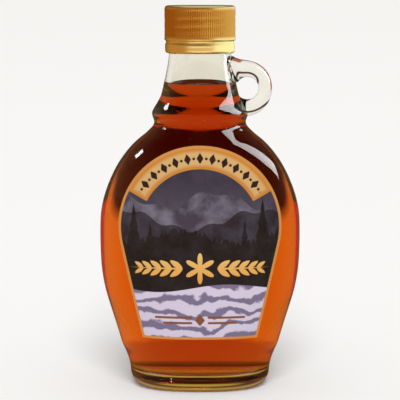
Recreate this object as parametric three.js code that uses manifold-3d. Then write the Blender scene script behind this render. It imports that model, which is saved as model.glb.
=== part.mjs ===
// A 250 ml glass jug of maple syrup: an oval flask with a finger loop beside its neck, the syrup inside it,
// a rolled-on metal screw cap, and a paper label on the front.
// Millimetres, +Z up. The origin is the middle of the foot, on the surface that the jug stands on.
// The front label faces -Y, and the finger loop is on the +X side.
import * as THREE from "three";
import { mergeVertices } from "three/addons/utils/BufferGeometryUtils.js";
import Module from "manifold-3d";

const wasm = await Module();
wasm.setup();

// Driving dimensions of the glass
const MOUTH_HEIGHT = 151.8;
const SHOULDER_HEIGHT = 106;
const FINISH_RADIUS = 13.1;
const WALL = 2.5;
const FLOOR_HEIGHT = 6.5;
const CAVITY_CORNER = 7;
const HEEL_RADIUS = 5.6;
const BEARING_WIDTH = 3.2;
const PUNT_DEPTH = 2.4;

// Half-width seen from the front, as [height, half-width]
const WIDTH_STATIONS = [
  [0, 28.1], [8, 28.5], [12, 29.5], [17.5, 31.9], [25, 34.1], [34, 36.9], [42, 39.1], [52, 40.3], [62, 40.5],
  [70, 40.3], [77, 39], [84, 36.5], [90, 33.6], [96, 29.4], [100, 25.5], [103, 21.8], [SHOULDER_HEIGHT, 18.8],
];
// Half-depth seen from the side: the front and back panels lean in gently towards the neck.
const DEPTH_STATIONS = [
  [0, 20.6], [9, 21.3], [17.5, 23.2], [26, 24.7], [45, 25.4], [68, 25.4], [80, 25.2], [88, 24.6], [93, 23.8],
  [97, 22.7], [100, 21.6], [103, 20.2], [SHOULDER_HEIGHT, 18.8],
];
// Radius of the round neck, from the shoulder over the collar's lip to the finish under the cap
const NECK_STATIONS = [
  [SHOULDER_HEIGHT, 18.8], [107.6, 18.4], [109.2, 18.9], [111, 19.4], [112.8, 18.7], [115, 17.3], [118, 15.8],
  [122, 14.8], [127, 13.6], [133, 12.6], [136, 12.4], [137.4, FINISH_RADIUS], [MOUTH_HEIGHT, FINISH_RADIUS],
];
// Radius of the hollow in the neck, which does not follow the collar's lip
const BORE_STATIONS = [
  [SHOULDER_HEIGHT, 16.3], [111, 15.2], [116, 13.6], [122, 12.1], [130, 10.7], [136, 10], [MOUTH_HEIGHT, 9.8],
];
// The oval is squarer than an ellipse, which has 2, and turns round towards the neck.
const SQUARENESS_STATIONS = [[0, 2.5], [88, 2.5], [100, 2.25], [SHOULDER_HEIGHT, 2]];
// A low ridge rings the body under the label panels.
const RIDGE_HEIGHT = 17.5;
const RIDGE_RISE = 0.3;
const RIDGE_SPREAD = 1.3;

// Finger loop: a glass bar bent round a hole, whose middle is given as [x, height]. The bar's outer edge is
// given as [degrees from +X, distance from the hole's middle], between its two roots in the glass.
const LOOP_CENTRE = [19, 121];
const LOOP_HOLE_RADIUS = 4.5;
const LOOP_EDGE_STATIONS = [
  [-150, 12], [-120, 11.7], [-90, 11.2], [-45, 10.4], [0, 9.9], [45, 10.4], [90, 11.1], [107, 12.1],
  [117, 14.7], [127, 17], [150, 17],
];
const LOOP_HALF_BREADTH = 3.3;
const LOOP_ROOT_FLARE = 1.4;

// Syrup
const SYRUP_LEVEL = 122.3;
const SYRUP_CLEARANCE = 0.3;

// Rolled-on cap: a knurled skirt, a groove, and a plain tamper band tucked in under the finish
const CAP_TOP = 154;
const CAP_BOTTOM = 135.2;
const CAP_RADIUS = 14.2;
const CAP_BORE = 13.4;
const CAP_LID_THICKNESS = 1.9;
const CAP_EDGE_ROUND = 1.4;
const KNURL_COUNT = 100;
const KNURL_DEPTH = 0.25;
const KNURL_BOTTOM = 141.2;
const KNURL_TOP = 151.6;
const KNURL_PROUD = 0.1;
const KNURL_SEAT_DEPTH = 0.5;
const KNURL_SEAT_RISE = 0.25;
const GROOVE_HEIGHT = 139.5;
const GROOVE_HALF_HEIGHT = 0.8;
const GROOVE_RADIUS = 13.7;
const BAND_RADIUS = 13.9;
const BAND_TUCK_HEIGHT = 1.6;
const BAND_TUCK_RADIUS = 13.3;
const BAND_TUCK_BORE = 12.8;

// Paper label seen from the front: a round arch over straight sides that draw in to the bottom edge
const LABEL_GAP = 0.3;
const LABEL_THICKNESS = 0.2;
const LABEL_BOTTOM = 23.3;
const LABEL_ARCH_CENTRE = 67.8;
const LABEL_ARCH_RADIUS = 32.2;
const LABEL_BOTTOM_HALF_WIDTH = 22.8;
const LABEL_TOP_FLAT = 3;

// Facets
const GLASS_SIDES = 44;
const HOLLOW_SIDES = 36;
const SYRUP_SIDES = 28;
const CAP_SIDES = 50;
const LOOP_SIDES = 12;
const LOOP_STEPS = 25;
const CORNER_STEPS = 4;
const LABEL_COLUMNS = 14;
const LABEL_STRAIGHT_ROWS = 4;
const LABEL_ARCH_ROWS = 9;
// Shares of the punt's width at which its dome has a ring
const PUNT_SHARES = spread(0.3, 1, 3);
// Heights of the rings above the corners, closer together where a profile turns
const FOOT_RINGS = [...spread(9, 15, 2), ...spread(16.5, 18.5, 2)];
const BODY_RINGS = [...spread(20.5, 92, 16), ...spread(94.5, 106, 6)];
const NECK_RINGS = [...spread(107, 114, 7), 116, 119, 123, 128, 133, 136, 137.4, MOUTH_HEIGHT];
const HOLLOW_RINGS = [...spread(18, 93, 13), ...spread(96, 106, 5), 109, 112, 116];
const BORE_RINGS = [122, 129, 136, MOUTH_HEIGHT, MOUTH_HEIGHT + WALL];

// Evenly spaced numbers from one value to another, both included.
function spread(from, to, steps) {
  return Array.from({ length: steps + 1 }, (_, i) => from + ((to - from) * i) / steps);
}

// Angles of a full turn, the last one left off because it is the first again.
function fullTurn(sides) {
  return spread(0, 2 * Math.PI, sides).slice(0, sides);
}

// A smooth curve through stations of [place, value] that never swings past a station's value.
function smoothThrough(stations) {
  const last = stations.length - 1;
  const run = (i) => stations[i + 1][0] - stations[i][0];
  const slope = (i) => (stations[i + 1][1] - stations[i][1]) / run(i);
  const tangents = stations.map((_, i) => {
    if (i === 0) return slope(0);
    if (i === last) return slope(last - 1);
    if (slope(i - 1) * slope(i) <= 0) return 0;
    const before = 2 * run(i) + run(i - 1);
    const after = run(i) + 2 * run(i - 1);
    return (before + after) / (before / slope(i - 1) + after / slope(i));
  });
  return (place) => {
    const inside = THREE.MathUtils.clamp(place, stations[0][0], stations[last][0]);
    const next = stations.findIndex((station, i) => i > 0 && inside <= station[0]);
    const i = next - 1;
    const h = run(i);
    const t = (inside - stations[i][0]) / h;
    const ease = t ** 2 * (3 - 2 * t);
    const fromValues = (1 - ease) * stations[i][1] + ease * stations[next][1];
    return fromValues + h * t * (1 - t) * ((1 - t) * tangents[i] - t * tangents[next]);
  };
}

const widthAt = smoothThrough(WIDTH_STATIONS);
const depthAt = smoothThrough(DEPTH_STATIONS);
const neckAt = smoothThrough(NECK_STATIONS);
const boreAt = smoothThrough(BORE_STATIONS);
const squarenessAt = smoothThrough(SQUARENESS_STATIONS);
const loopEdgeAt = smoothThrough(LOOP_EDGE_STATIONS);

// How far a quarter-round corner stands in from the side, at a rise above the corner's bottom.
function cornerInset(rise, radius) {
  const below = Math.max(radius - rise, 0);
  return radius - Math.sqrt(radius ** 2 - below ** 2);
}

// Heights that step evenly round a quarter-round corner.
function cornerHeights(bottom, radius) {
  return spread(0, Math.PI / 2, CORNER_STEPS).map((turn) => bottom + radius * (1 - Math.cos(turn)));
}

function roundRing(z, radius) {
  return { z, halfWidth: radius, halfDepth: radius, squareness: 2 };
}

// The jug's outer oval at a height.
function outerRing(z) {
  if (z > SHOULDER_HEIGHT) return roundRing(z, neckAt(z));
  const ridge = RIDGE_RISE * Math.exp(-(((z - RIDGE_HEIGHT) / RIDGE_SPREAD) ** 2));
  const growth = ridge - cornerInset(z, HEEL_RADIUS);
  return { z, halfWidth: widthAt(z) + growth, halfDepth: depthAt(z) + growth, squareness: squarenessAt(z) };
}

// The hollow's oval at a height, drawn in further by a clearance.
function innerRing(z, clearance) {
  if (z > SHOULDER_HEIGHT) return roundRing(z, boreAt(z) - clearance);
  const inset = WALL + clearance + cornerInset(z - FLOOR_HEIGHT - clearance, CAVITY_CORNER);
  return { z, halfWidth: widthAt(z) - inset, halfDepth: depthAt(z) - inset, squareness: squarenessAt(z) };
}

// A point of an oval ring, at an angle from +X.
function ringPoint(ring, angle) {
  const power = 2 / ring.squareness;
  const across = Math.cos(angle);
  const along = Math.sin(angle);
  const x = ring.halfWidth * Math.sign(across) * Math.abs(across) ** power;
  const y = ring.halfDepth * Math.sign(along) * Math.abs(along) ** power;
  return new THREE.Vector3(x, y, ring.z);
}

// A closed surface through loops of points, all of one count and turning one way round the direction of
// travel. Each end is closed by a fan from its middle.
function skinLoops(loops, firstMiddle, lastMiddle) {
  const count = loops[0].length;
  const points = [...loops.flat(), firstMiddle, lastMiddle];
  const first = points.length - 2;
  const last = points.length - 1;
  const top = (loops.length - 1) * count;
  const index = [];
  for (let side = 0; side < count; side += 1) {
    const next = (side + 1) % count;
    for (let here = 0; here < top; here += count) {
      const above = here + count;
      index.push(here + side, here + next, above + next, here + side, above + next, above + side);
    }
    index.push(first, next, side, last, top + side, top + next);
  }
  return new THREE.BufferGeometry().setFromPoints(points).setIndex(index);
}

// A closed loft through oval rings, listed from the bottom up.
function loft(rings, sides, firstMiddleHeight = rings[0].z) {
  const loops = rings.map((ring) => fullTurn(sides).map((angle) => ringPoint(ring, angle)));
  const firstMiddle = new THREE.Vector3(0, 0, firstMiddleHeight);
  const lastMiddle = new THREE.Vector3(0, 0, rings.at(-1).z);
  return skinLoops(loops, firstMiddle, lastMiddle);
}

// A closed geometry as a solid that can be joined and cut.
function solidOf(geometry) {
  const bare = geometry.clone();
  bare.deleteAttribute("normal");
  bare.deleteAttribute("uv");
  const merged = mergeVertices(bare);
  const vertProperties = merged.getAttribute("position").array;
  const triVerts = new Uint32Array(merged.index.array);
  return new wasm.Manifold(new wasm.Mesh({ numProp: 3, vertProperties, triVerts }));
}

// A joined or cut solid as a geometry again.
function geometryOf(solid) {
  const { vertProperties, triVerts } = solid.getMesh();
  const geometry = new THREE.BufferGeometry();
  geometry.setAttribute("position", new THREE.BufferAttribute(vertProperties, 3));
  return geometry.setIndex(new THREE.BufferAttribute(triVerts, 1));
}

// The flask without its hollow: punt, bearing ring, heel, body, collar, neck and finish.
function flaskGeometry() {
  const foot = outerRing(0);
  const puntRings = PUNT_SHARES.map((share) => ({
    z: PUNT_DEPTH * (1 - share ** 2),
    halfWidth: (foot.halfWidth - BEARING_WIDTH) * share,
    halfDepth: (foot.halfDepth - BEARING_WIDTH) * share,
    squareness: foot.squareness,
  }));
  const heights = [...cornerHeights(0, HEEL_RADIUS), ...FOOT_RINGS, ...BODY_RINGS, ...NECK_RINGS];
  return loft([...puntRings, ...heights.map(outerRing)], GLASS_SIDES, PUNT_DEPTH);
}

// The hollow, run on above the mouth so that it cuts right through.
function hollowGeometry() {
  const heights = [...cornerHeights(FLOOR_HEIGHT, CAVITY_CORNER), ...HOLLOW_RINGS, ...BORE_RINGS];
  return loft(heights.map((z) => innerRing(z, 0)), HOLLOW_SIDES);
}

// The syrup fills the hollow up to its level.
function syrupGeometry() {
  const corner = cornerHeights(FLOOR_HEIGHT + SYRUP_CLEARANCE, CAVITY_CORNER);
  const heights = [...corner, ...HOLLOW_RINGS, SYRUP_LEVEL];
  return loft(heights.map((z) => innerRing(z, SYRUP_CLEARANCE)), SYRUP_SIDES);
}

// The loop's bar: oval sections that stand on the rim of the hole and spread towards both roots.
function loopGeometry() {
  const middle = new THREE.Vector3(LOOP_CENTRE[0], 0, LOOP_CENTRE[1]);
  const firstDegrees = LOOP_EDGE_STATIONS[0][0];
  const lastDegrees = LOOP_EDGE_STATIONS.at(-1)[0];
  const halfSide = Math.PI / LOOP_SIDES;
  const sections = spread(lastDegrees, firstDegrees, LOOP_STEPS).map((degrees) => {
    const turn = THREE.MathUtils.degToRad(degrees);
    const outward = new THREE.Vector3(Math.cos(turn), 0, Math.sin(turn));
    const halfBar = (loopEdgeAt(degrees) - LOOP_HOLE_RADIUS) / 2;
    const halfBreadth = LOOP_HALF_BREADTH + LOOP_ROOT_FLARE * (degrees / lastDegrees) ** 2;
    const barMiddle = middle.clone().addScaledVector(outward, LOOP_HOLE_RADIUS + halfBar);
    const points = fullTurn(LOOP_SIDES).map((angle) => {
      const point = barMiddle.clone().addScaledVector(outward, halfBar * Math.sin(angle + halfSide));
      return point.setY(halfBreadth * Math.cos(angle + halfSide));
    });
    return { barMiddle, points };
  });
  return skinLoops(sections.map(({ points }) => points), sections[0].barMiddle, sections.at(-1).barMiddle);
}

// One piece of glass: the flask with its loop, less the hollow.
function glassGeometry() {
  const flaskAndLoop = solidOf(flaskGeometry()).add(solidOf(loopGeometry()));
  return geometryOf(flaskAndLoop.subtract(solidOf(hollowGeometry())));
}

// The cap's turned outside, from the tucked edge of the band up to the rounded lid.
function capOutsideGeometry() {
  const seatRadius = CAP_RADIUS - KNURL_SEAT_DEPTH;
  const edge = spread(0, Math.PI / 2, CORNER_STEPS).map((turn) =>
    roundRing(
      CAP_TOP - CAP_EDGE_ROUND * (1 - Math.sin(turn)),
      CAP_RADIUS - CAP_EDGE_ROUND * (1 - Math.cos(turn)),
    ),
  );
  const rings = [
    roundRing(CAP_BOTTOM, BAND_TUCK_RADIUS),
    roundRing(CAP_BOTTOM + BAND_TUCK_HEIGHT, BAND_RADIUS),
    roundRing(GROOVE_HEIGHT - GROOVE_HALF_HEIGHT, BAND_RADIUS),
    roundRing(GROOVE_HEIGHT, GROOVE_RADIUS),
    roundRing(GROOVE_HEIGHT + GROOVE_HALF_HEIGHT, CAP_RADIUS),
    roundRing(KNURL_BOTTOM - KNURL_SEAT_RISE, CAP_RADIUS),
    roundRing(KNURL_BOTTOM + KNURL_SEAT_RISE, seatRadius),
    roundRing(KNURL_TOP - KNURL_SEAT_RISE, seatRadius),
    roundRing(KNURL_TOP + KNURL_SEAT_RISE, CAP_RADIUS),
    ...edge,
  ];
  return loft(rings, CAP_SIDES);
}

// The knurled ring of the skirt: a prism whose outline goes in and out once for each rib.
function knurlGeometry() {
  const outline = fullTurn(2 * KNURL_COUNT).map((angle, i) => {
    const radius = CAP_RADIUS + KNURL_PROUD - (i % 2) * KNURL_DEPTH;
    return new THREE.Vector2(radius * Math.cos(angle), radius * Math.sin(angle));
  });
  const prism = new THREE.ExtrudeGeometry(new THREE.Shape(outline), {
    depth: KNURL_TOP - KNURL_BOTTOM,
    bevelEnabled: false,
  });
  return prism.translate(0, 0, KNURL_BOTTOM);
}

// The cap's inside, run out below the tucked edge so that it cuts right through.
function capInsideGeometry() {
  const rings = [
    roundRing(CAP_BOTTOM - BAND_TUCK_HEIGHT, BAND_TUCK_BORE),
    roundRing(CAP_BOTTOM + BAND_TUCK_HEIGHT / 2, BAND_TUCK_BORE),
    roundRing(CAP_BOTTOM + BAND_TUCK_HEIGHT, CAP_BORE),
    roundRing(CAP_TOP - CAP_LID_THICKNESS, CAP_BORE),
  ];
  return loft(rings, CAP_SIDES);
}

// The cap and its tamper band are still one piece.
function capGeometry() {
  const outside = solidOf(capOutsideGeometry()).add(solidOf(knurlGeometry()));
  return geometryOf(outside.subtract(solidOf(capInsideGeometry())));
}

// The label's outline as heights with half-widths: the straight sides leave the arch along its tangents.
function labelRows() {
  const drop = LABEL_ARCH_CENTRE - LABEL_BOTTOM;
  const cornerReach = Math.hypot(LABEL_BOTTOM_HALF_WIDTH, drop);
  const tangentTurn = Math.acos(LABEL_ARCH_RADIUS / cornerReach) - Math.atan2(drop, LABEL_BOTTOM_HALF_WIDTH);
  const topTurn = Math.acos(LABEL_TOP_FLAT / LABEL_ARCH_RADIUS);
  const archRows = spread(tangentTurn, topTurn, LABEL_ARCH_ROWS).map((turn) => ({
    z: LABEL_ARCH_CENTRE + LABEL_ARCH_RADIUS * Math.sin(turn),
    halfWidth: LABEL_ARCH_RADIUS * Math.cos(turn),
  }));
  const straightRows = spread(0, 1, LABEL_STRAIGHT_ROWS).map((share) => ({
    z: THREE.MathUtils.lerp(LABEL_BOTTOM, archRows[0].z, share),
    halfWidth: THREE.MathUtils.lerp(LABEL_BOTTOM_HALF_WIDTH, archRows[0].halfWidth, share),
  }));
  return [...straightRows, ...archRows.slice(1)];
}

// The label: a thin sheet of the arched outline, laid a little outside the jug's oval on the -Y side.
function labelGeometry() {
  const rows = labelRows();
  const sheet = new THREE.BoxGeometry(2, 1, 1, LABEL_COLUMNS, 1, rows.length - 1);
  const place = sheet.getAttribute("position");
  for (let i = 0; i < place.count; i += 1) {
    const row = rows[Math.round((place.getZ(i) + 0.5) * (rows.length - 1))];
    const isOuterFace = place.getY(i) < 0;
    const offset = LABEL_GAP + (isOuterFace ? LABEL_THICKNESS : 0);
    const ring = outerRing(row.z);
    const x = place.getX(i) * row.halfWidth;
    const reach = Math.abs(x / (ring.halfWidth + offset)) ** ring.squareness;
    const y = -(ring.halfDepth + offset) * (1 - reach) ** (1 / ring.squareness);
    place.setXYZ(i, x, y, row.z);
  }
  return geometryOf(solidOf(sheet));
}

const glassFinish = new THREE.MeshStandardMaterial({ color: 0xdfe3dc, roughness: 0.05, metalness: 0 });
glassFinish.transparent = true;
glassFinish.opacity = 0.3;
const syrupFinish = new THREE.MeshStandardMaterial({ color: 0xa8430f, roughness: 0.1, metalness: 0 });
const capFinish = new THREE.MeshStandardMaterial({ color: 0xc9923a, roughness: 0.3, metalness: 1 });
const paperFinish = new THREE.MeshStandardMaterial({ color: 0x2a2a4a, roughness: 0.5, metalness: 0 });

function addPiece(group, name, geometry, finish) {
  geometry.computeVertexNormals();
  const piece = new THREE.Mesh(geometry, finish);
  piece.name = name;
  group.add(piece);
}

const jug = new THREE.Group();
addPiece(jug, "glass_jug", glassGeometry(), glassFinish);
addPiece(jug, "syrup", syrupGeometry(), syrupFinish);
addPiece(jug, "screw_cap", capGeometry(), capFinish);
addPiece(jug, "front_label", labelGeometry(), paperFinish);

export default jug;
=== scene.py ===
import math

import bpy
import numpy as np
from mathutils import Matrix


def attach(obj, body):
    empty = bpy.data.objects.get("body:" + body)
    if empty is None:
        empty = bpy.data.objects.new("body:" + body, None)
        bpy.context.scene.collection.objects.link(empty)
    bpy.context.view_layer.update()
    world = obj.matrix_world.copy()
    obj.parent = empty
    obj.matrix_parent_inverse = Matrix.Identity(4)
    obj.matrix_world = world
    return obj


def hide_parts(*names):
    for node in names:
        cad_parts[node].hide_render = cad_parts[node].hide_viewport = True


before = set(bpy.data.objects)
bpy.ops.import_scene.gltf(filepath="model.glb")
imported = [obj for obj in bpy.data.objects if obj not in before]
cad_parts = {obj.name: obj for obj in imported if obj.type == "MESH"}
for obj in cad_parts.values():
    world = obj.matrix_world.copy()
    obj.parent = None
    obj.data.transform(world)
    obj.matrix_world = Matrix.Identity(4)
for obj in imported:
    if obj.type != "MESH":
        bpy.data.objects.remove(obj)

scene = bpy.context.scene
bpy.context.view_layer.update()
mm = 0.001      # shapes below are worked out in millimetres and put in as metres
print("frame loaded")


# curve through [place, value] stations: a cubic per span, end slopes the harmonic mean of the spans beside it
def smoothThrough(stations, place):
    knots, values = np.array(stations, float).T
    run = np.diff(knots)
    slope = np.diff(values) / run
    before, after = 2 * run[1:] + run[:-1], run[1:] + 2 * run[:-1]
    same = slope[:-1] * slope[1:] > 0
    left, right = np.where(same, slope[:-1], 1), np.where(same, slope[1:], 1)
    middle = np.where(same, (before + after) / (before / left + after / right), 0)
    tangent = np.concatenate([slope[:1], middle, slope[-1:]])
    inside = np.clip(place, knots[0], knots[-1])
    i = np.clip(np.searchsorted(knots, inside) - 1, 0, len(run) - 1)
    t = (inside - knots[i]) / run[i]
    ease = t * t * (3 - 2 * t)
    bulge = run[i] * t * (1 - t) * ((1 - t) * tangent[i] - t * tangent[i + 1])
    return (1 - ease) * values[i] + ease * values[i + 1] + bulge


# running bell-shaped average of evenly spaced values, the ends carried on along their slope
def soften(values, step, spread):
    reach = int(4 * spread / step)
    bell = np.exp(-0.5 * (np.arange(-reach, reach + 1) * step / spread) ** 2)
    padded = np.pad(values, reach, mode="reflect", reflect_type="odd")
    return np.convolve(padded, bell / bell.sum(), mode="valid")


# eased step from 0 to 1 between two values
def smoothStep(low, high, value):
    t = np.clip((value - low) / (high - low), 0, 1)
    return t * t * (3 - 2 * t)


# heights of rings over spans of [low, high, count], each span after the first without its lowest
def spanHeights(spans):
    runs = [np.linspace(*span) for span in spans]
    return np.concatenate(runs[:1] + [run[1:] for run in runs[1:]])


# mesh object from points in millimetres, with four-sided and three-sided faces
def putMesh(name, points, quads, tris=np.zeros((0, 3), int)):
    mesh = bpy.data.meshes.new(name)
    corners = np.concatenate([quads.ravel(), tris.ravel()]).astype(np.int32)
    sizes = np.repeat([4, 3], [len(quads), len(tris)])
    mesh.vertices.add(len(points))
    mesh.vertices.foreach_set("co", np.ascontiguousarray(points * mm, np.float32).ravel())
    mesh.loops.add(len(corners))
    mesh.loops.foreach_set("vertex_index", corners)
    mesh.polygons.add(len(sizes))
    mesh.polygons.foreach_set("loop_start", (np.cumsum(sizes) - sizes).astype(np.int32))
    mesh.polygons.foreach_set("use_smooth", np.ones(len(sizes), bool))
    mesh.update(calc_edges=True)
    mesh.validate()
    obj = bpy.data.objects.new(name, mesh)
    scene.collection.objects.link(obj)
    return obj


# closed skin over rings of points [ring, side, xyz]: quads between neighbours, a fan from each end's middle
def skinRings(name, rings, firstMiddle, lastMiddle):
    count, sides = rings.shape[:2]
    points = np.concatenate([rings.reshape(-1, 3), [firstMiddle, lastMiddle]])
    ring, side = np.meshgrid(np.arange(count - 1) * sides, np.arange(sides), indexing="ij")
    turn = (side + 1) % sides
    quads = np.stack([ring + side, ring + turn, ring + sides + turn, ring + sides + side], -1).reshape(-1, 4)
    around, after = np.arange(sides), (np.arange(sides) + 1) % sides
    top = (count - 1) * sides
    first, last = np.full(sides, count * sides), np.full(sides, count * sides + 1)
    firstFan = np.stack([first, after, around], -1)
    lastFan = np.stack([last, top + around, top + after], -1)
    return putMesh(name, points, quads, np.concatenate([firstFan, lastFan]))


# oval rings: x and y are the half sizes times cosine and sine, each to the power 2 / squareness, sign kept
def ovalRings(z, halfWidth, halfDepth, squareness, sides):
    turn = np.linspace(0, 2 * np.pi, sides, endpoint=False)
    power = 2 / squareness[:, None]
    x = halfWidth[:, None] * np.sign(np.cos(turn)) * np.abs(np.cos(turn)) ** power
    y = halfDepth[:, None] * np.sign(np.sin(turn)) * np.abs(np.sin(turn)) ** power
    return np.stack([x, y, np.broadcast_to(z[:, None], x.shape)], -1)


# middle or normal of every face, as rows of xyz
def faceRows(obj, which):
    rows = np.zeros(3 * len(obj.data.polygons), np.float32)
    obj.data.polygons.foreach_get(which, rows)
    return rows.reshape(-1, 3)


# a node with its sockets filled: an output is linked, anything else is set as the value
def addNode(tree, kind, sockets, **settings):
    node = tree.nodes.new("ShaderNode" + kind)
    for key, value in settings.items():
        setattr(node, key, value)
    for key, value in sockets.items():
        if isinstance(value, bpy.types.NodeSocket):
            tree.links.new(value, node.inputs[key])
        else:
            node.inputs[key].default_value = value
    return node


# one step of arithmetic between values
def maths(tree, operation, *values):
    return addNode(tree, "Math", dict(enumerate(values)), operation=operation).outputs["Value"]


# 0 to 1 as a value goes from low to high
def rampOf(tree, value, low, high):
    return addNode(tree, "MapRange", {"Value": value, "From Min": low, "From Max": high}).outputs["Result"]


# a value from 0 to 1 spread between low and high
def spreadOf(tree, value, low, high):
    return addNode(tree, "MapRange", {"Value": value, "To Min": low, "To Max": high}).outputs["Result"]


# fine noise in the piece's own place
def noiseOf(tree, place, scale, detail):
    return addNode(tree, "TexNoise", {"Vector": place, "Scale": scale, "Detail": detail}).outputs["Fac"]


# blend of two colours by a factor
def mixColour(tree, factor, below, above):
    return addNode(tree, "MixRGB", {"Fac": factor, "Color1": below, "Color2": above}).outputs["Color"]


# material with its shader's plain values set; gives it with its nodes and that shader
def newMaterial(name, sockets):
    material = bpy.data.materials.new(name)
    material.use_nodes = True
    tree = material.node_tree
    shader = tree.nodes["Principled BSDF"]
    for key, value in sockets.items():
        shader.inputs[key].default_value = value
    return material, tree, shader


# copy of a material with some of its shader's plain values changed
def likeMaterial(material, name, sockets):
    copied = material.copy()
    copied.name = name
    for key, value in sockets.items():
        copied.node_tree.nodes["Principled BSDF"].inputs[key].default_value = value
    return copied


# second material on the marked faces
def secondMaterial(obj, material, marked):
    obj.data.materials.append(material)
    obj.data.polygons.foreach_set("material_index", marked.astype(np.int32))


# every finished piece rides the jug's one body, stands for a node of the frame, whose part it hides, and
# takes its one material
def finishPiece(obj, material, node):
    obj.data.materials.clear()
    obj.data.materials.append(material)
    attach(obj, "root")
    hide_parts(node)
    print(obj.name, "has", sum(len(p.vertices) - 2 for p in obj.data.polygons), "triangles")


# glass jug: stations are [height, half size], spans of rings are [low, high, count]
flask = {
    "mouth": 151.8, "shoulder": 106, "wall": 2.5, "floor": 6.5, "cavityCorner": 7, "heel": 5.6,
    "bearing": 3.2, "punt": 2.4, "puntStart": 0.08, "puntRings": 14, "ridgeHeight": 17.5, "ridgeRise": 0.12,
    "ridgeSpread": 2.0, "sides": 208, "step": 0.25, "cornerRings": 12, "sharpFrom": 55,
    "softBody": 2.5, "softNeck": 0.5, "softBore": 1.5, "neckFrom": (92, 101), "boreFrom": (102, 109),
    "width": [[0, 28.1], [8, 28.5], [12, 29.5], [17.5, 31.9], [25, 34.1], [34, 36.9], [42, 39.1], [52, 40.3],
              [62, 40.5], [70, 40.3], [77, 39], [84, 36.5], [90, 33.6], [96, 29.4], [100, 25.5], [103, 21.8],
              [106, 18.8]],
    "depth": [[0, 20.6], [9, 21.3], [17.5, 23.2], [26, 24.7], [45, 25.4], [68, 25.4], [80, 25.2], [88, 24.6],
              [93, 23.8], [97, 22.7], [100, 21.6], [103, 20.2], [106, 18.8]],
    "neck": [[106, 18.8], [107.6, 18.4], [109.2, 18.9], [111, 19.4], [112.8, 18.7], [115, 17.35],
             [117.6, 15.95], [118.8, 15.5], [122, 14.75], [127, 13.6], [133, 12.6], [136, 12.4],
             [137.4, 13.1], [151.8, 13.1]],
    "bore": [[106, 16.3], [111, 15.2], [116, 13.6], [122, 12.1], [130, 10.7], [136, 10], [151.8, 9.8]],
    "squareness": [[0, 2.5], [88, 2.5], [100, 2.25], [106, 2]],
    "outerSpans": [[6, 22, 40], [22, 98, 70], [98, 116, 60], [116, 139, 34], [139, 151.8, 4]],
    "hollowSpans": [[14, 96, 60], [96, 125, 50], [125, 154.8, 14]],
}
heightSteps = np.arange(0, flask["mouth"] + flask["step"], flask["step"])


# half size up the whole jug: the body's stations, then the neck's, softened more on the body than at the neck
def wholeProfile(body, neck):
    low, high = smoothThrough(flask[body], heightSteps), smoothThrough(flask[neck], heightSteps)
    whole = np.where(heightSteps <= flask["shoulder"], low, high)
    broad = soften(whole, flask["step"], flask["softBody"])
    fine = soften(whole, flask["step"], flask["softNeck"])
    return broad + (fine - broad) * smoothStep(*flask["neckFrom"], heightSteps)


outerWidth, outerDepth = wholeProfile("width", "neck"), wholeProfile("depth", "neck")
boreRadius = soften(smoothThrough(flask["bore"], heightSteps), flask["step"], flask["softBore"])


# how far a quarter-round corner stands in: radius less the root of radius squared minus depth squared
def cornerInset(rise, radius):
    below = np.clip(radius - rise, 0, radius)
    return radius - np.sqrt(radius ** 2 - below ** 2)


# outer oval at heights: softened profile plus the low ridge's bell, less the heel's corner
def outerOval(z):
    ridge = flask["ridgeRise"] * np.exp(-((z - flask["ridgeHeight"]) / flask["ridgeSpread"]) ** 2)
    growth = ridge - cornerInset(z, flask["heel"])
    width, depth = np.interp(z, heightSteps, outerWidth), np.interp(z, heightSteps, outerDepth)
    return width + growth, depth + growth, smoothThrough(flask["squareness"], z)


# hollow's oval at heights: one wall inside the outer profile, less the floor's corner, then the neck's bore
def innerOval(z, grow):
    inset = flask["wall"] - grow + cornerInset(z - flask["floor"] + grow, flask["cavityCorner"])
    bore = np.interp(z, heightSteps, boreRadius) + grow
    toBore = smoothStep(*flask["boreFrom"], z)
    width = np.interp(z, heightSteps, outerWidth) - inset
    depth = np.interp(z, heightSteps, outerDepth) - inset
    squareness = smoothThrough(flask["squareness"], z)
    return width + (bore - width) * toBore, depth + (bore - depth) * toBore, squareness


# heights that step evenly round a quarter-round corner
def cornerHeights(bottom, radius):
    return bottom + radius * (1 - np.cos(np.linspace(0, np.pi / 2, flask["cornerRings"])))


# flask without its hollow: a parabola under the foot for the punt, then an oval ring at each height
def outerFlask():
    z = np.concatenate([cornerHeights(0, flask["heel"]), spanHeights(flask["outerSpans"])[1:]])
    body = ovalRings(z, *outerOval(z), flask["sides"])
    share = np.linspace(flask["puntStart"], 1, flask["puntRings"])
    width, depth, squareness = outerOval(np.zeros(flask["puntRings"]))
    dome = ovalRings(flask["punt"] * (1 - share ** 2), (width - flask["bearing"]) * share,
                     (depth - flask["bearing"]) * share, squareness, flask["sides"])
    rings = np.concatenate([dome, body])
    return skinRings("glassJug", rings, [0, 0, flask["punt"]], [0, 0, flask["mouth"]])


# hollow, run on above the mouth so that it cuts right through: an oval ring at each height
def hollowFlask():
    corner = cornerHeights(flask["floor"], flask["cavityCorner"])
    z = np.concatenate([corner, spanHeights(flask["hollowSpans"])])
    rings = ovalRings(z, *innerOval(z, 0), flask["sides"])
    return skinRings("hollow", rings, [0, 0, flask["floor"]], [0, 0, z[-1]])


# finger loop: edge stations are [degrees from +X, reach from the hole's middle]
loop = {
    "centre": [19, 121], "hole": 4.5, "halfBreadth": 3.3, "flare": 1.4, "steps": 150, "sides": 56, "soft": 5,
    "edge": [[-150, 12], [-120, 11.7], [-90, 11.2], [-45, 10.4], [0, 9.9], [45, 10.4], [90, 11.1],
             [107, 12.1], [117, 14.7], [127, 17], [150, 17]],
}


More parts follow.
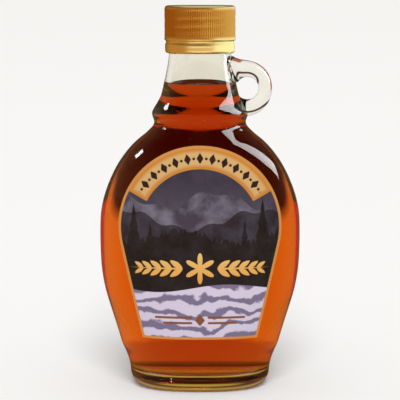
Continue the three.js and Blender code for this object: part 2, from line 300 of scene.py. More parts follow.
# loop: ovals that stand on the hole's circle and reach out to the edge, broader by the square of the turn
def fingerLoop():
    degrees = np.linspace(loop["edge"][-1][0], loop["edge"][0][0], loop["steps"])
    reach = soften(smoothThrough(loop["edge"], degrees), abs(degrees[1] - degrees[0]), loop["soft"])
    halfBar = 0.5 * (reach - loop["hole"])
    halfBreadth = loop["halfBreadth"] + loop["flare"] * (degrees / degrees[0]) ** 2
    turn = np.radians(degrees)
    outward = np.stack([np.cos(turn), np.zeros_like(turn), np.sin(turn)], -1)
    middle = [loop["centre"][0], 0, loop["centre"][1]] + (loop["hole"] + halfBar)[:, None] * outward
    angle = np.linspace(0, 2 * np.pi, loop["sides"], endpoint=False)
    rings = middle[:, None, :] + np.multiply.outer(halfBar, np.sin(angle))[..., None] * outward[:, None, :]
    rings[..., 1] += np.multiply.outer(halfBreadth, np.cos(angle))
    return skinRings("fingerLoop", rings, middle[0], middle[-1])


# joins or cuts a piece with another, which is then taken away
def combine(obj, other, operation):
    modifier = obj.modifiers.new(operation.lower(), "BOOLEAN")
    modifier.operation = operation
    modifier.solver = "MANIFOLD"
    modifier.object = other
    made = bpy.data.meshes.new_from_object(obj.evaluated_get(bpy.context.evaluated_depsgraph_get()))
    obj.modifiers.clear()
    obj.data = made
    bpy.data.objects.remove(other)


glassJug = outerFlask()
combine(glassJug, fingerLoop(), "UNION")
combine(glassJug, hollowFlask(), "DIFFERENCE")
glassJug.data.polygons.foreach_set("use_smooth", np.ones(len(glassJug.data.polygons), bool))
glassJug.data.set_sharp_from_angle(angle=math.radians(flask["sharpFrom"]))

# clear glass with a faint ripple
glassFinish = {
    "tint": (0.94, 0.928, 0.85, 1), "roughness": 0.01, "index": 1.5, "ripple": 0.05, "rippleScale": 55,
    "rippleDepth": 0.001, "wetReach": 0.4, "wetBelow": 0.5, "wetAbove": 0.3,
}
glassLook, tree, shader = newMaterial("clearGlass", {
    "Base Color": glassFinish["tint"], "Roughness": glassFinish["roughness"], "IOR": glassFinish["index"],
    "Transmission Weight": 1})
ripple = noiseOf(tree, addNode(tree, "TexCoord", {}).outputs["Object"], glassFinish["rippleScale"], 1)
bump = addNode(tree, "Bump", {
    "Strength": glassFinish["ripple"], "Distance": glassFinish["rippleDepth"], "Height": ripple})
tree.links.new(bump.outputs["Normal"], shader.inputs["Normal"])
finishPiece(glassJug, glassLook, "glass_jug")

# syrup, which is clear but takes light up along its way
syrup = {
    "level": 122.3, "overlap": 0.15, "climb": 0.9, "climbReach": 0.9, "sides": 160, "neckRings": 50,
    "topRings": 26, "topCrowd": 1.8, "colour": (0.976, 0.70, 0.08, 1), "density": 190, "index": 1.48,
    # the level's colour is painted shade for the dark line the level shows
    "levelShade": (0.02, 0.009, 0.004, 1), "levelIndex": 1.02, "levelFacing": 0.3, "levelBelow": 0.1,
}
noShine = (0, 0, 0, 1)

# where syrup wets the glass, the two hardly differ, so that face gives no shine of its own
wetGlass = likeMaterial(glassLook, "wetGlass", {"Specular Tint": noShine})
centres = faceRows(glassJug, "center") / mm
width, depth, squareness = innerOval(centres[:, 2], glassFinish["wetReach"])
fromAxis = np.abs(centres[:, 0] / width) ** squareness + np.abs(centres[:, 1] / depth) ** squareness
aboveFloor = centres[:, 2] > flask["floor"] - glassFinish["wetBelow"]
underLevel = centres[:, 2] < syrup["level"] + glassFinish["wetAbove"]
wet = (fromAxis < 1) & aboveFloor & underLevel
secondMaterial(glassJug, wetGlass, wet)
print("glass done,", wet.sum(), "wet faces")


# syrup fills the hollow and reaches a little into the wall; its top climbs the glass by a falling exponential
def syrupFill():
    low = flask["floor"] - syrup["overlap"]
    rim = syrup["level"] + syrup["climb"]
    body = flask["hollowSpans"][0]
    z = np.concatenate([cornerHeights(low, flask["cavityCorner"]),
                        spanHeights([body, [body[1], rim, syrup["neckRings"]]])])
    wall = ovalRings(z, *innerOval(z, syrup["overlap"]), syrup["sides"])
    edge = innerOval(np.array([rim]), syrup["overlap"])[0][0]
    radius = edge * (1 - np.linspace(0, 1, syrup["topRings"])[1:-1] ** syrup["topCrowd"])
    climb = syrup["level"] + syrup["climb"] * np.exp(-(edge - radius) / syrup["climbReach"])
    top = ovalRings(climb, radius, radius, np.full(len(radius), 2.0), syrup["sides"])
    return skinRings("syrupBody", np.concatenate([wall, top]), [0, 0, low], [0, 0, syrup["level"]])


syrupBody = syrupFill()
syrupLook, tree = newMaterial("amberSyrup", {
    "Base Color": (1, 1, 1, 1), "Roughness": 0.0, "IOR": syrup["index"], "Transmission Weight": 1,
    "Specular Tint": noShine})[:2]
absorb = addNode(tree, "VolumeAbsorption", {"Color": syrup["colour"], "Density": syrup["density"]})
tree.links.new(absorb.outputs["Volume"], tree.nodes["Material Output"].inputs["Volume"])
finishPiece(syrupBody, syrupLook, "syrup")

# the level is seen almost edge on; this copy of the syrup is painted darker than the syrup under it, as
# painted shade
shadedLevelLook = likeMaterial(syrupLook, "shadedSyrupLevel", {
    "Base Color": syrup["levelShade"], "IOR": syrup["levelIndex"]})
facesUp = faceRows(syrupBody, "normal")[:, 2] > syrup["levelFacing"]
atLevel = faceRows(syrupBody, "center")[:, 2] > (syrup["level"] - syrup["levelBelow"]) * mm
secondMaterial(syrupBody, shadedLevelLook, facesUp & atLevel)
print("syrup done")


# screw cap: profiles are [radius, height], outside from the tucked edge of the band up to the skirt
cap = {
    "top": 154, "radius": 14.2, "edge": 1.4, "ribs": 100, "ribDepth": 0.15, "knurlLow": 141.2,
    "knurlHigh": 151.8, "knurlFade": 0.5, "threadPitch": 3.18, "threadDepth": 0.07, "threadSpread": 0.75,
    "threadLow": 143.0, "threadHigh": 149.4, "threadFade": (0.8, 0.4),
    "sides": 800, "bandRings": 40, "skirtRings": 46, "edgeRings": 12, "lid": [12, 9, 5, 2], "sharpFrom": 60,
    "outside": [[13.0, 135.25], [13.35, 135.2], [13.75, 135.5], [13.98, 136.2], [13.98, 137.6],
                [14.02, 138.3], [13.85, 138.9], [13.62, 139.4], [13.7, 139.9], [14.12, 140.3], [14.28, 140.7],
                [14.2, 141.2]],
    "inside": [[2, 152.1], [6, 152.1], [13.05, 152.1], [13.35, 151.8], [13.35, 137.2], [12.8, 136.2],
               [12.8, 135.5]],
}


# cap: a turned profile; the skirt's ribs are a cosine round the turn, its thread rolls a bell along a helix
def turnedCap():
    turn = np.linspace(0, 2 * np.pi, cap["sides"], endpoint=False)
    low = np.array(cap["outside"])
    way = np.concatenate([[0], np.cumsum(np.hypot(*np.diff(low, axis=0).T))])
    fine = np.linspace(0, way[-1], cap["bandRings"])
    lowRadius = smoothThrough(np.stack([way, low[:, 0]], -1), fine)
    lowHeight = smoothThrough(np.stack([way, low[:, 1]], -1), fine)
    skirt = np.linspace(cap["knurlLow"], cap["top"] - cap["edge"], cap["skirtRings"])[1:]
    bend = np.linspace(0, np.pi / 2, cap["edgeRings"])[1:]
    edgeRadius = cap["radius"] - cap["edge"] * (1 - np.cos(bend))
    edgeHeight = cap["top"] - cap["edge"] * (1 - np.sin(bend))
    radius = np.concatenate([lowRadius, np.full(len(skirt), cap["radius"]), edgeRadius, cap["lid"]])
    height = np.concatenate([lowHeight, skirt, edgeHeight, np.full(len(cap["lid"]), cap["top"])])
    knurled = smoothStep(cap["knurlLow"], cap["knurlLow"] + cap["knurlFade"], height)
    knurled = knurled * smoothStep(cap["knurlHigh"] + cap["knurlFade"], cap["knurlHigh"], height)
    rib = cap["ribDepth"] * knurled[:, None] * (0.5 - 0.5 * np.cos(cap["ribs"] * turn))
    before, after = cap["threadFade"]
    threaded = smoothStep(cap["threadLow"] - before, cap["threadLow"] + after, height)
    threaded = threaded * smoothStep(cap["threadHigh"] + before, cap["threadHigh"] - after, height)
    winding = (height[:, None] - cap["threadLow"]) / cap["threadPitch"] - turn / (2 * np.pi)
    fromRoot = (winding - np.floor(winding + 0.5)) * cap["threadPitch"]
    roll = cap["threadDepth"] * threaded[:, None] * np.exp(-(fromRoot / cap["threadSpread"]) ** 2)
    full = radius[:, None] - rib - roll
    upright = np.broadcast_to(height[:, None], full.shape)
    outside = np.stack([full * np.cos(turn), full * np.sin(turn), upright], -1)
    inRadius, inHeight = np.array(cap["inside"]).T
    inside = ovalRings(inHeight, inRadius, inRadius, np.full(len(inRadius), 2.0), cap["sides"])
    return skinRings("screwCap", np.concatenate([inside, outside]), [0, 0, inHeight[0]], [0, 0, cap["top"]])


screwCap = turnedCap()
screwCap.data.set_sharp_from_angle(angle=math.radians(cap["sharpFrom"]))

# gold lacquer with a slight mottle; the knurled skirt is painted deeper than the band and the lid, as painted
# shade among its ribs
capFinish = {
    "knurlShade": (0.60, 0.34, 0.065, 1), "light": (0.95, 0.88, 0.38, 1), "knurlShadeLow": (140.5, 142),
    "knurlShadeHigh": (152.2, 153.6), "mottle": 0.1, "mottleScale": 90, "dull": (0.3, 0.38),
}
capLook, tree, shader = newMaterial("goldCap", {"Metallic": 1})
place = addNode(tree, "TexCoord", {}).outputs["Object"]
up = addNode(tree, "SeparateXYZ", {"Vector": place}).outputs["Z"]
ribStart, ribEnd = [rampOf(tree, up, *np.multiply(capFinish[end], mm)) for end in ("knurlShadeLow", "knurlShadeHigh")]
tone = mixColour(tree, maths(tree, "SUBTRACT", ribStart, ribEnd), capFinish["light"], capFinish["knurlShade"])
mottle = noiseOf(tree, place, capFinish["mottleScale"], 4)
shade = spreadOf(tree, mottle, 1 - capFinish["mottle"], 1)
lacquerAndShade = addNode(tree, "VectorMath", {0: tone, "Scale": shade}, operation="SCALE").outputs["Vector"]
tree.links.new(lacquerAndShade, shader.inputs["Base Color"])
tree.links.new(spreadOf(tree, mottle, *capFinish["dull"]), shader.inputs["Roughness"])
finishPiece(screwCap, capLook, "screw_cap")
print("cap done")


# front label: a sheet from just inside the glass's surface to just outside it
sheet = {
    "inner": -0.08, "outer": 0.12, "bottom": 23.3, "archCentre": 67.8, "archRadius": 32.2,
    "bottomHalfWidth": 22.8, "topFlat": 1.2, "columns": 150, "rows": 230, "straightShare": 0.4,
    "sharpFrom": 50,
}


# turn at which the straight sides leave the arch, so that they run along tangents to the bottom corners
def sideTurn():
    drop = sheet["archCentre"] - sheet["bottom"]
    corner = math.hypot(sheet["bottomHalfWidth"], drop)
    return math.acos(sheet["archRadius"] / corner) - math.atan2(drop, sheet["bottomHalfWidth"])


# arched outline as rows of height and half-width: straight sides, then an arc
def labelRows():
    straight = int(sheet["rows"] * sheet["straightShare"])
    topTurn = math.acos(sheet["topFlat"] / sheet["archRadius"])
    turn = np.linspace(sideTurn(), topTurn, sheet["rows"] - straight)
    archHeight = sheet["archCentre"] + sheet["archRadius"] * np.sin(turn)
    archWidth = sheet["archRadius"] * np.cos(turn)
    share = np.linspace(0, 1, straight, endpoint=False)
    sideHeight = sheet["bottom"] + (archHeight[0] - sheet["bottom"]) * share
    sideWidth = sheet["bottomHalfWidth"] + (archWidth[0] - sheet["bottomHalfWidth"]) * share
    return np.concatenate([sideHeight, archHeight]), np.concatenate([sideWidth, archWidth])


# sheet on the glass: y is half depth times (1 - (x / half width) ^ squareness) ^ (1 / squareness)
def labelFace(offset):
    z, halfWidth = labelRows()
    width, depth, squareness = [size[:, None] for size in outerOval(z)]
    x = halfWidth[:, None] * np.linspace(-1, 1, sheet["columns"])
    y = -(depth + offset) * (1 - np.abs(x / (width + offset)) ** squareness) ** (1 / squareness)
    return np.stack([x, y, np.broadcast_to(z[:, None], x.shape)], -1)


# closed sheet: the printed face, the glued face, and a strip round the edge between them
def labelMesh(name):
    outer, inner = labelFace(sheet["outer"]), labelFace(sheet["inner"])
    rows, columns = outer.shape[:2]
    index = np.arange(rows * columns).reshape(rows, columns)
    quads = np.stack([index[:-1, :-1], index[:-1, 1:], index[1:, 1:], index[1:, :-1]], -1).reshape(-1, 4)
    edge = np.concatenate([index[0, :-1], index[:-1, -1], index[-1, :0:-1], index[:0:-1, 0]])
    after = np.roll(edge, -1)
    back = rows * columns
    strip = np.stack([after, edge, edge + back, after + back], -1)
    points = np.concatenate([outer.reshape(-1, 3), inner.reshape(-1, 3)])
    obj = putMesh(name, points, np.concatenate([quads, quads[:, ::-1] + back, strip]))
    obj.data.set_sharp_from_angle(angle=math.radians(sheet["sharpFrom"]))
    return obj, points[:, 0], points[:, 2]


# distance in from the label's outline: the nearest of its arc, its tangent sides and its bottom edge
def fromOutline(x, z):
    tangent = sideTurn()
    across, up = np.abs(x), z - sheet["archCentre"]
    side = sheet["archRadius"] - (across * math.cos(tangent) + up * math.sin(tangent))
    arc = sheet["archRadius"] - np.hypot(across, up)
    onArc = np.arctan2(up, across) > tangent
    return np.minimum(np.where(onArc, arc, side), z - sheet["bottom"])


# lozenge: one less the rooted sum of its two shares, each raised to a power, times its smaller half size
def lozenge(along, across, halfLong, halfAcross, power=1.0):
    reach = np.abs(along / halfLong) ** power + np.abs(across / halfAcross) ** power
    return (1 - reach ** (1 / power)) * min(halfLong, halfAcross)


# print: leaves are [distance from the middle, half length], spruces are [middle, tip, foot, half spread],
# ridges are a height and waves of [rise, turn per millimetre, start], rules are [height, half length]
artwork = {
    "border": 1.0, "edgeSoft": 0.1,
    "bannerIn": 23.3, "bannerOut": 31.4, "bannerTurn": 63, "beadPitch": 4.9, "bead": (1.35, 2.2), "dot": 0.55,
    "beadInset": 1.6,
    "sprayHeight": 52, "petals": 6, "petalReach": 6.2, "petalDip": 0.38, "stem": 0.4, "stemFrom": 7,
    "sprayReach": 28, "leafTurn": 33, "leafOut": 0.7, "leafUp": 0.85, "leafGap": 0.3, "leafSlim": 0.38,
    "leafRound": 1.5, "leaves": [[7.6, 2.9], [11.8, 2.8], [15.8, 2.6], [19.5, 2.3], [22.8, 2.0]],
    "spruces": [[-26, 78, 42, 6.5], [-19.5, 71, 42, 5.0], [-13.5, 66, 43, 3.8], [12.5, 65, 43, 3.6],
                [17.5, 72, 42, 4.8], [24.5, 80, 42, 6.6]],
    "tiers": 7, "boughDip": 0.38,
    "ridges": {"farRidge": [79, (3.2, 0.16, 0.7), (1.2, 0.41, 2)],
               "midRidge": [71, (3.6, 0.12, -1.1), (1.0, 0.5, 0)],
               "nearRidge": [63, (2.6, 0.14, 2.6)], "snow": [44, (1.6, 0.11, 0.4)]},
    "treePitch": 2.6, "treeSway": (0.35, 0.9), "treeRise": 5.5,
    "rules": [[32.3, 17.8], [30.1, 14.6]], "ruleHalf": 0.45, "ruleGap": 3.3, "ruleMark": (31.2, 2.4, 2.0),
}


# banner: a ring between two radii, cut off by a turn each side; beads: lozenges and dots along its middle
def bannerShapes(x, z):
    radius = np.hypot(x, z - sheet["archCentre"])
    turn = np.arctan2(x, z - sheet["archCentre"])
    limit = math.radians(artwork["bannerTurn"])
    middle = 0.5 * (artwork["bannerIn"] + artwork["bannerOut"])
    inRing = np.minimum(radius - artwork["bannerIn"], artwork["bannerOut"] - radius)
    ring = np.minimum(inRing, (limit - np.abs(turn)) * middle)
    along, aside = turn * middle, radius - middle
    pitch = artwork["beadPitch"]
    near = along - pitch * np.round(along / pitch)
    between = along - pitch * (np.floor(along / pitch) + 0.5)
    beads = np.maximum(lozenge(near, aside, *artwork["bead"]), artwork["dot"] - np.hypot(between, aside))
    return ring, np.minimum(beads, ring - artwork["beadInset"])


# gold spray: a rosette, its reach a cosine of the turn, and paired leaves that lean out along a stem
def goldShapes(x, z):
    across, up = np.abs(x), z - artwork["sprayHeight"]
    wave = np.cos(artwork["petals"] * np.arctan2(up, x) + np.pi)
    petal = artwork["petalReach"] * (1 - artwork["petalDip"] + artwork["petalDip"] * wave) - np.hypot(x, up)
    taper = artwork["stem"] * (1 - (across / artwork["sprayReach"]) ** 2)
    stem = np.minimum(taper, across - artwork["stemFrom"]) - np.abs(up)
    lean = math.radians(artwork["leafTurn"])
    shapes = [petal, stem]
    for start, long in artwork["leaves"]:
        out = across - start - artwork["leafOut"] * long * math.cos(lean)
        rise = np.abs(up) - artwork["leafUp"] * long * math.sin(lean) - artwork["leafGap"]
        along = out * math.cos(lean) + rise * math.sin(lean)
        aside = rise * math.cos(lean) - out * math.sin(lean)
        shapes.append(lozenge(along, aside, long, artwork["leafSlim"] * long, artwork["leafRound"]))
    return np.maximum.reduce(shapes)


# spruces: spires whose half width grows down from the tip, with a saw wave for the tiers of boughs
def spruceShapes(x, z):
    trees = []
    for middle, tip, foot, spread in artwork["spruces"]:
        down = np.clip((tip - z) / (tip - foot), 0, 1)
        bough = 1 - artwork["boughDip"] + artwork["boughDip"] * (down * artwork["tiers"] % 1)
        trees.append(np.minimum(spread * down * bough - np.abs(x - middle), tip - z))
    return np.maximum.reduce(trees)


# ridge line: a height plus sine waves
def ridgeLine(x, height, *waves):
    return height + sum(rise * np.sin(x * turn + start) for rise, turn, start in waves)


# row of trees on the near ridge: a triangle wave whose pitch sways by a sine
def treeLine(x):
    sway, turn = artwork["treeSway"]
    return artwork["treeRise"] * np.abs((x / artwork["treePitch"] + sway * np.sin(x * turn)) % 1 - 0.5)


# brown rules near the bottom: two bars broken by a lozenge in the middle
def ruleShapes(x, z):
    upper, lower = [np.minimum(artwork["ruleHalf"] - np.abs(z - height), reach - np.abs(x))
                    for height, reach in artwork["rules"]]
    bars = np.maximum(upper, lower) - np.maximum(0, artwork["ruleGap"] - np.abs(x))
    height, halfTall, halfWide = artwork["ruleMark"]
    return np.maximum(bars, lozenge(z - height, x, halfTall, halfWide))


frontLabel, x, z = labelMesh("frontLabel")
banner, beads = bannerShapes(x, z)
ridges = {name: ridgeLine(x, *line) - z for name, line in artwork["ridges"].items()}
ridges["nearRidge"] += treeLine(x)
shapes = {
    "height": z, "border": fromOutline(x, z), "banner": banner, "beads": beads, **ridges,
    "spruces": spruceShapes(x, z), "gold": goldShapes(x, z), "rules": ruleShapes(x, z),
}
for name, values in shapes.items():
    attribute = frontLabel.data.attributes.new(name, "FLOAT", "POINT")
    attribute.data.foreach_set("value", np.ascontiguousarray(values, np.float32))
print("front print worked out")

overlit = 1.2       # the studio lights paper a fifth past white, so inks are mixed that much darker


# screen colour (0 to 255) as linear light, for that studio
def printed(red, green, blue):
    share = np.array([red, green, blue]) / 255
    light = np.where(share <= 0.04045, share / 12.92, ((share + 0.055) / 1.055) ** 2.4)
    return (*(light / overlit).tolist(), 1)


ink = {
    "skyLow": printed(84, 77, 96), "skyHigh": printed(34, 27, 36), "skyPatch": printed(62, 55, 72),
    "farDark": printed(64, 57, 72), "farLight": printed(116, 110, 126), "midDark": printed(36, 30, 38),
    "midLight": printed(60, 55, 68), "nearDark": printed(20, 14, 16), "nearLight": printed(36, 30, 36),
    "spruceDark": printed(16, 11, 13), "spruceLight": printed(30, 26, 30),
    "snowLight": printed(212, 200, 220), "snowShade": printed(122, 110, 140), "outline": printed(24, 14, 12),
    "goldLow": printed(226, 158, 66), "goldHigh": printed(232, 186, 108), "rule": printed(134, 76, 50),
    "bannerEdge": printed(200, 130, 46), "bannerCream": printed(211, 168, 108), "bead": printed(40, 20, 10),
    "border": printed(210, 140, 62), "paperLow": printed(196, 190, 178), "paperHigh": printed(226, 220, 208),
}
# paper: fades are [from, to] of a height, a noise or a distance in
paper = {
    "roughness": 0.45, "shine": 0.25, "cloudScale": 150, "cloudFade": (0.4, 0.68), "skyFade": (70, 94),
    "driftScale": 60, "driftBend": 11, "driftFade": (0.5, 0.8), "goldFade": (47, 57), "goldRim": 0.5,
    "creamFade": (0.8, 2.0), "grainScale": 700, "grainShows": 0.012, "tooth": 0.06, "toothDepth": 0.0004,
    "backRoughness": 0.7, "fibreScale": 500,
}


# how much of a colour shows: an attribute's value, millimetres inside its edge, eased over a tenth each way
def mask(tree, name, start=0.0):
    value = addNode(tree, "Attribute", {}, attribute_name=name).outputs["Fac"]
    return rampOf(tree, value, start - artwork["edgeSoft"], start + artwork["edgeSoft"])


frontLook, tree, shader = newMaterial("frontLabelPaper", {
    "Roughness": paper["roughness"], "Specular IOR Level": paper["shine"]})
place = addNode(tree, "TexCoord", {}).outputs["Object"]
patch = rampOf(tree, noiseOf(tree, place, paper["cloudScale"], 5), *paper["cloudFade"])
grain = noiseOf(tree, place, paper["grainScale"], 3)
waves = {"Vector": place, "Scale": paper["driftScale"], "Distortion": paper["driftBend"], "Detail": 4}
drift = addNode(tree, "TexWave", waves, bands_direction="Z").outputs["Fac"]
height = addNode(tree, "Attribute", {}, attribute_name="height").outputs["Fac"]
bannerIn = addNode(tree, "Attribute", {}, attribute_name="banner").outputs["Fac"]
sky = mixColour(tree, rampOf(tree, height, *paper["skyFade"]), ink["skyLow"], ink["skyHigh"])
colour = mixColour(tree, patch, sky, ink["skyPatch"])
for shape, inks in {"farRidge": "far", "midRidge": "mid", "nearRidge": "near", "spruces": "spruce"}.items():
    tone = mixColour(tree, patch, ink[inks + "Dark"], ink[inks + "Light"])
    colour = mixColour(tree, mask(tree, shape), colour, tone)
snow = mixColour(tree, rampOf(tree, drift, *paper["driftFade"]), ink["snowLight"], ink["snowShade"])
colour = mixColour(tree, mask(tree, "snow"), colour, snow)
colour = mixColour(tree, mask(tree, "gold", -paper["goldRim"]), colour, ink["outline"])
gold = mixColour(tree, rampOf(tree, height, *paper["goldFade"]), ink["goldLow"], ink["goldHigh"])
colour = mixColour(tree, mask(tree, "gold"), colour, gold)
colour = mixColour(tree, mask(tree, "rules"), colour, ink["rule"])
cream = mixColour(tree, rampOf(tree, bannerIn, *paper["creamFade"]), ink["bannerEdge"], ink["bannerCream"])
colour = mixColour(tree, mask(tree, "banner"), colour, cream)
colour = mixColour(tree, mask(tree, "beads"), colour, ink["bead"])
colour = mixColour(tree, mask(tree, "border", artwork["border"]), ink["border"], colour)
tree.links.new(mixColour(tree, paper["grainShows"], colour, grain), shader.inputs["Base Color"])
bump = addNode(tree, "Bump", {"Strength": paper["tooth"], "Distance": paper["toothDepth"], "Height": grain})
tree.links.new(bump.outputs["Normal"], shader.inputs["Normal"])
finishPiece(frontLabel, frontLook, "front_label")

# the glued side and the edge are plain paper
backLook, tree, shader = newMaterial("labelBackPaper", {"Roughness": paper["backRoughness"]})
fibre = noiseOf(tree, addNode(tree, "TexCoord", {}).outputs["Object"], paper["fibreScale"], 4)
tree.links.new(mixColour(tree, fibre, ink["paperLow"], ink["paperHigh"]), shader.inputs["Base Color"])
printedFaces = (sheet["rows"] - 1) * (sheet["columns"] - 1)
secondMaterial(frontLabel, backLook, np.arange(len(frontLabel.data.polygons)) >= printedFaces)
print("label done")

# studio: a pale floor, a soft sun from the front, and panels that only show as glints in glass and cap
studio = {
    "floorHalf": 40, "floorTone": (0.95, 0.945, 0.93, 1), "floorRoughness": 0.9,
    "sun": {"strength": 2.0, "softness": 28, "height": 45, "aside": 2},
    "window": {"place": (0.17, 0.005, 0.245), "size": (0.078, 0.23), "tilt": 90, "facing": 90, "lean": 30,
               "glow": 7.8},
    "lamp": {"place": (-0.54, 0.22, 0.50), "size": (0.14, 0.09), "tilt": 90, "facing": -90, "lean": 0,
             "glow": 14},
    "wall": {"place": (0.18, 0.12, 0.17), "size": (0.60, 0.24), "tilt": 90, "facing": 90, "lean": 0,
             "glow": 1.0},
    "ceiling": {"place": (0.05, 0.05, 0.55), "size": (0.7, 0.7), "tilt": 0, "facing": 0, "lean": 0,
                "glow": 0.6},
    "apron": {"place": (0, -0.3, 0.03), "size": (0.5, 0.12), "tilt": 90, "facing": 0, "lean": 0, "glow": 1.3},
    "behind": {"place": (0, 0.35, 0.12), "size": (0.5, 0.4), "tilt": 90, "facing": 180, "lean": 0,
               "glow": 1.8},
}
half = studio["floorHalf"]
floorMesh = bpy.data.meshes.new("floor")
floorCorners = [(-half, -half, 0), (half, -half, 0), (half, half, 0), (-half, half, 0)]
floorMesh.from_pydata(floorCorners, [], [(0, 1, 2, 3)])
floor = bpy.data.objects.new("floor", floorMesh)
scene.collection.objects.link(floor)
floorLook = newMaterial("paleFloor", {
    "Base Color": studio["floorTone"], "Roughness": studio["floorRoughness"]})[0]
floorMesh.materials.append(floorLook)
floor.visible_glossy = False        # keeps a grey veil off the sides of the glass


# stops of a colour ramp, in order, added to the two it starts with
def setStops(ramp, stops):
    while len(ramp.elements) < len(stops):
        ramp.elements.new(0.5)
    for element, (position, colour) in zip(ramp.elements, stops):
        element.position, element.color = position, colour


# painted glow or painted shade where it covers, as an emitting colour, clear elsewhere, on a card that only
# rays through the glass can see
def glassOnly(obj, material, tone, cover):
    tree = material.node_tree
    glow = addNode(tree, "Emission", {"Color": tone, "Strength": 1.0}).outputs["Emission"]
    clear = addNode(tree, "BsdfTransparent", {}).outputs["BSDF"]
    mixed = addNode(tree, "MixShader", {"Fac": cover, 1: clear, 2: glow}).outputs["Shader"]
    tree.links.new(mixed, tree.nodes["Material Output"].inputs["Surface"])
    obj.data.materials.append(material)
    obj.visible_camera = obj.visible_diffuse = obj.visible_glossy = obj.visible_shadow = False


# upright card close behind the jug, whose colours are painted light and shade: dark bands are the jug's
# painted shadow, bright bands the painted glow of light gathered by the syrup; tones are [height, colour, how
# much it covers], widths are [height, half width], and past slantFrom each side the rows slant down
shadowAndGlowCard = {
    "behind": 26.2, "halfWidth": 40, "low": 0.2, "top": 125, "sideSoft": 0.86, "slantFrom": 16, "slant": 1.1,
    "tones": [[0, (0.52, 0.43, 0.075), 1], [3.9, (0.52, 0.43, 0.075), 1], [4.3, (0.45, 0.30, 0.05), 1],
              [5.3, (0.45, 0.30, 0.05), 1], [5.8, (0.10, 0.03, 0.012), 1], [7.0, (0.10, 0.03, 0.012), 1],
              [7.4, (0.17, 0.16, 0.05), 1], [8.6, (0.17, 0.16, 0.05), 1], [11, (0.56, 0.38, 0.50), 1],
              [17.5, (0.56, 0.38, 0.50), 1], [20, (0.56, 0.38, 0.50), 0], [70, (0.045, 0.012, 0.012), 0],
              [74, (0.045, 0.012, 0.012), 1], [94.5, (0.045, 0.012, 0.012), 1], [97, (0.53, 0.175, 0.10), 1],
              [118.6, (0.53, 0.175, 0.10), 1], [119.6, (0.53, 0.175, 0.10), 0]],
    "widths": [[0, 16], [30, 16], [40, 36], [94, 36], [97, 13], [125, 13]],
}
half, back = shadowAndGlowCard["halfWidth"], shadowAndGlowCard["behind"]
low, top = shadowAndGlowCard["low"], shadowAndGlowCard["top"]
cardPoints = np.array([[-half, back, low], [half, back, low], [half, back, top], [-half, back, top]])
card = putMesh("shadowAndGlowCard", cardPoints, np.array([[0, 1, 2, 3]]))
shadowAndGlowLook, tree = newMaterial("shadowAndGlowCard", {})[:2]
place = addNode(tree, "SeparateXYZ", {"Vector": addNode(tree, "TexCoord", {}).outputs["Object"]}).outputs
aside = maths(tree, "ABSOLUTE", place["X"])
past = maths(tree, "MAXIMUM", maths(tree, "SUBTRACT", aside, shadowAndGlowCard["slantFrom"] * mm), 0.0)
raised = maths(tree, "MULTIPLY_ADD", past, shadowAndGlowCard["slant"], place["Z"])
share = maths(tree, "DIVIDE", raised, top * mm)
tones, widths = addNode(tree, "ValToRGB", {"Fac": share}), addNode(tree, "ValToRGB", {"Fac": share})
setStops(tones.color_ramp, [[height / top, (*tone, cover)] for height, tone, cover in shadowAndGlowCard["tones"]])
wideStops = [[height / top, (wide / half,) * 3 + (1,)] for height, wide in shadowAndGlowCard["widths"]]
setStops(widths.color_ramp, wideStops)
reach = maths(tree, "MULTIPLY", widths.outputs["Color"], half * mm)
inside = rampOf(tree, maths(tree, "DIVIDE", aside, reach), 1, shadowAndGlowCard["sideSoft"])
cover = maths(tree, "MULTIPLY", tones.outputs["Alpha"], inside)
glassOnly(card, shadowAndGlowLook, tones.outputs["Color"], cover)

# dark strips on the floor left and right of the front, painted shade that darkens the rims of the shoulders;
# they show only to rays reflected inside the jug, which have met more faces than a straight way through has
shadeStrips = {
    "outline": [[38, -28], [155, -72], [160, -98], [38, -46]], "lift": 0.3, "straightFaces": 6.5,
    "dark": (0.05, 0.014, 0.012, 1),
}
outline = np.array(shadeStrips["outline"], float)
corners = np.concatenate([outline, outline * [-1, 1]])
stripPoints = np.column_stack([corners, np.full(len(corners), shadeStrips["lift"])])
strips = putMesh("shadeStrips", stripPoints, np.arange(len(corners)).reshape(2, 4))
shadeStripLook, tree = newMaterial("shadeStrips", {})[:2]
facesMet = addNode(tree, "LightPath", {}).outputs["Ray Depth"]
reflected = maths(tree, "GREATER_THAN", facesMet, shadeStrips["straightFaces"])
glassOnly(strips, shadeStripLook, shadeStrips["dark"], reflected)

# surroundings: soft grey light for paper and floor, a warm brown room mirrored from the front left, and
# through the glass a pale backdrop with a dark strip across it; stops are [sine of the height, light]
room = {
    "fill": (0.6, 0.6, 0.6, 1), "behind": (0.15, 0.095, 0.035, 1), "brown": (0.52, 0.24, 0.075, 1),
    "brownFrom": (0.9, 1, 0), "brownEdge": (-0.2, 0.5), "brownTop": (0.3, 0.75), "overhead": (0, 0, 0, 1),
    "backdrop": [[0, (0.9, 0.9, 0.9)], [0.19, (0.9, 0.9, 0.9)], [0.22, (0.09, 0.02, 0.006)],
                 [0.36, (0.09, 0.02, 0.006)], [0.42, (0.9, 0.9, 0.9)], [0.75, (0.9, 0.9, 0.9)],
                 [0.95, (0.03, 0.03, 0.03)]],
}
world = bpy.data.worlds.new("studio")
scene.world = world
world.use_nodes = True
tree = world.node_tree
toward = addNode(tree, "TexCoord", {}).outputs["Generated"]
rise = addNode(tree, "SeparateXYZ", {"Vector": toward}).outputs["Z"]
backdrop = addNode(tree, "ValToRGB", {"Fac": rise})
setStops(backdrop.color_ramp, [[position, (*light, 1)] for position, light in room["backdrop"]])
fromFront = addNode(tree, "VectorMath", {0: toward, 1: room["brownFrom"]}, operation="DOT_PRODUCT")
turned = fromFront.outputs["Value"]
mirrored = mixColour(tree, rampOf(tree, turned, *room["brownEdge"]), room["brown"], room["behind"])
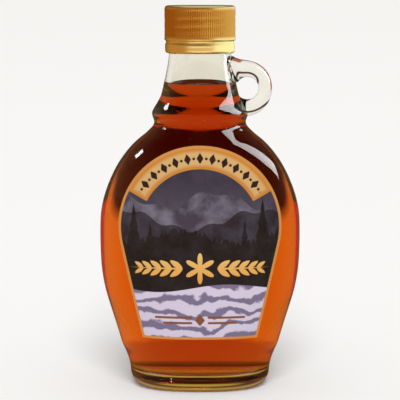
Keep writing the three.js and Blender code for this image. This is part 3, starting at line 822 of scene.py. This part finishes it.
mirrored = mixColour(tree, rampOf(tree, rise, *room["brownTop"]), mirrored, room["overhead"])
rays = addNode(tree, "LightPath", {}).outputs
light = mixColour(tree, rays["Is Transmission Ray"], mirrored, backdrop.outputs["Color"])
light = mixColour(tree, rays["Is Diffuse Ray"], light, room["fill"])
tree.links.new(light, tree.nodes["Background"].inputs["Color"])

sunData = bpy.data.lights.new("softSun", "SUN")
sunData.energy = studio["sun"]["strength"]
sunData.angle = math.radians(studio["sun"]["softness"])
sun = bpy.data.objects.new("softSun", sunData)
sun.rotation_euler = (math.radians(90 - studio["sun"]["height"]), 0, math.radians(studio["sun"]["aside"]))
sun.visible_glossy = False
scene.collection.objects.link(sun)


# panel light, tilted up from facing down, turned about the vertical and leaning in its own plane; it is seen
# in reflections only, lights one piece, and its power is its glow times pi times its area
def panelLight(name, panel, piece):
    data = bpy.data.lights.new(name, "AREA")
    data.shape = "RECTANGLE"
    data.size, data.size_y = panel["size"]
    data.energy = panel["glow"] * math.pi * data.size * data.size_y
    obj = bpy.data.objects.new(name, data)
    obj.location = panel["place"]
    facing, tilt, lean = [Matrix.Rotation(math.radians(panel[way]), 3, axis)
                          for way, axis in (("facing", "Z"), ("tilt", "X"), ("lean", "Z"))]
    obj.rotation_euler = (facing @ tilt @ lean).to_euler()
    obj.visible_camera = obj.visible_diffuse = obj.visible_transmission = False
    lit = bpy.data.collections.new(name + "Shows")
    lit.objects.link(piece)
    obj.light_linking.receiver_collection = lit
    scene.collection.objects.link(obj)
    return obj


# the window and the lamp glint in the glass, the wall, the ceiling and the apron in the cap
for name in ("window", "lamp"):
    panelLight(name, studio[name], glassJug)
for name in ("wall", "ceiling", "apron"):
    panelLight(name, studio[name], screwCap)
# soft light from behind that reaches the label's back through the jug, which doesn't shade it
behindLight = panelLight("behind", studio["behind"], frontLabel)
behindLight.visible_diffuse, behindLight.visible_glossy = True, False
behindLight.light_linking.blocker_collection = behindLight.light_linking.receiver_collection

# camera at the photograph's angle; its focal length is in pixels of a frame 400 across
view = {"place": (0, -0.6, 0.162), "down": 8.2, "focal": 1492, "across": 400}
cameraData = bpy.data.cameras.new("camera")
cameraData.lens = cameraData.sensor_width * view["focal"] / view["across"]
camera = bpy.data.objects.new("camera", cameraData)
camera.location = view["place"]
camera.rotation_euler = (math.radians(90 - view["down"]), 0, 0)
scene.collection.objects.link(camera)
scene.camera = camera
scene.view_settings.view_transform = "Standard"
print("studio done")
